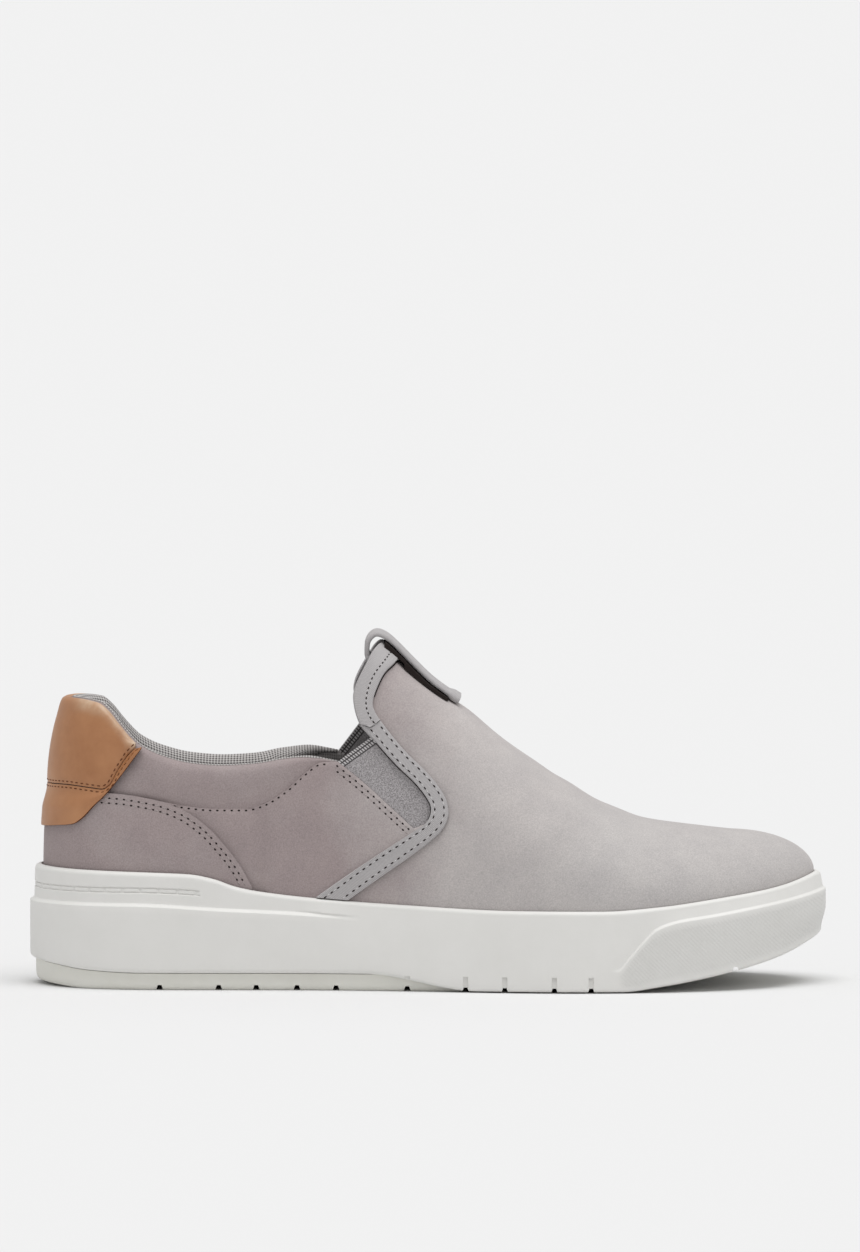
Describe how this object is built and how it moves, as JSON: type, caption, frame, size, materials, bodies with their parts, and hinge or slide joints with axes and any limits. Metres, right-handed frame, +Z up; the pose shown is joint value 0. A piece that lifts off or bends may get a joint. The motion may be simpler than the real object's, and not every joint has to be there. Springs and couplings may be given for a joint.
{
  "type": "slip-on sneaker",
  "caption": "Right slip-on sneaker: hollow nubuck upper with elastic side gores, padded collar, tan heel leathers and a pull loop, on a thick pale cup sole.",
  "frame": {"origin": "on the floor, under the middle of the shoe's bounding box", "axes": "+X towards the toe, +Z up, -Y towards the outer (lateral) side of this right shoe"},
  "size_m": [0.2998, 0.1082, 0.1336],
  "materials": {
    "tread_rubber": "matt moulded rubber",
    "cup_rubber": "satin moulded rubber",
    "footbed": "brushed cloth on foam",
    "nubuck": "short soft nap",
    "nubuck_overlay": "short soft nap",
    "tan_leather": "smooth, light sheen",
    "gore": "ribbed elastic",
    "webbing": "woven tape"
  },
  "bodies": {
    "root": {"outsole": "tread_rubber", "midsole": "cup_rubber", "insole": "footbed", "upper": "nubuck", "gore_lateral": "gore", "gore_medial": "gore", "edge_binding": "webbing", "heel_panel": "nubuck_overlay", "heel_patch": "tan_leather", "heel_tab": "tan_leather", "pull_loop": "webbing"}
  },
  "joints": []
}
